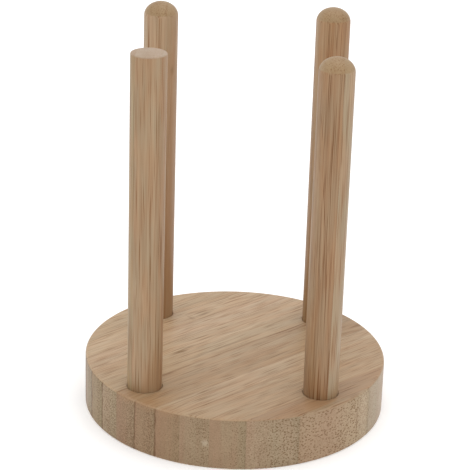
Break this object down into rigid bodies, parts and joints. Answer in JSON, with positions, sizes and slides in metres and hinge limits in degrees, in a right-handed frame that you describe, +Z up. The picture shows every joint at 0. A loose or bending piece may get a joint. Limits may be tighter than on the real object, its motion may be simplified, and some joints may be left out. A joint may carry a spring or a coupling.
{
  "type": "mug tree",
  "caption": "Round laminated bamboo base with upright dowel posts near its edge that pull out of their sockets; mugs stack between the posts.",
  "frame": {"origin": "centre of the base's underside, on the surface the stand rests on", "axes": "+Z up along the posts, -Y towards the front, where the flat-ended post stands at the left"},
  "size_m": [0.12, 0.12, 0.1552],
  "materials": {
    "base_bamboo": "satin lacquered laminated bamboo, fine streaks along the grain and dots on the end grain",
    "post_bamboo": "satin lacquered bamboo dowel, fine dark streaks along its length"
  },
  "bodies": {
    "base": {"base_stave_01": "base_bamboo", "base_stave_02": "base_bamboo", "base_stave_03": "base_bamboo", "base_stave_04": "base_bamboo", "base_stave_05": "base_bamboo", "base_stave_06": "base_bamboo", "base_stave_07": "base_bamboo", "base_stave_08": "base_bamboo", "base_stave_09": "base_bamboo", "base_stave_10": "base_bamboo", "base_stave_11": "base_bamboo", "base_stave_12": "base_bamboo", "base_stave_13": "base_bamboo"},
    "front_left_post": {"front_left_post_strip_1": "post_bamboo", "front_left_post_strip_2": "post_bamboo", "front_left_post_strip_3": "post_bamboo"},
    "front_right_post": {"front_right_post_strip_1": "post_bamboo", "front_right_post_strip_2": "post_bamboo"},
    "back_right_post": {"back_right_post_strip_1": "post_bamboo", "back_right_post_strip_2": "post_bamboo"},
    "back_left_post": {"back_left_post_strip_1": "post_bamboo", "back_left_post_strip_2": "post_bamboo"}
  },
  "joints": [
    {"name": "front_left_post_lift", "type": "slide", "parent": "base", "child": "front_left_post", "axis": [0, 0, 1], "range_m": [0, 0.02]},
    {"name": "front_right_post_lift", "type": "slide", "parent": "base", "child": "front_right_post", "axis": [0, 0, 1], "range_m": [0, 0.02]},
    {"name": "back_right_post_lift", "type": "slide", "parent": "base", "child": "back_right_post", "axis": [0, 0, 1], "range_m": [0, 0.02]},
    {"name": "back_left_post_lift", "type": "slide", "parent": "base", "child": "back_left_post", "axis": [0, 0, 1], "range_m": [0, 0.02]}
  ]
}
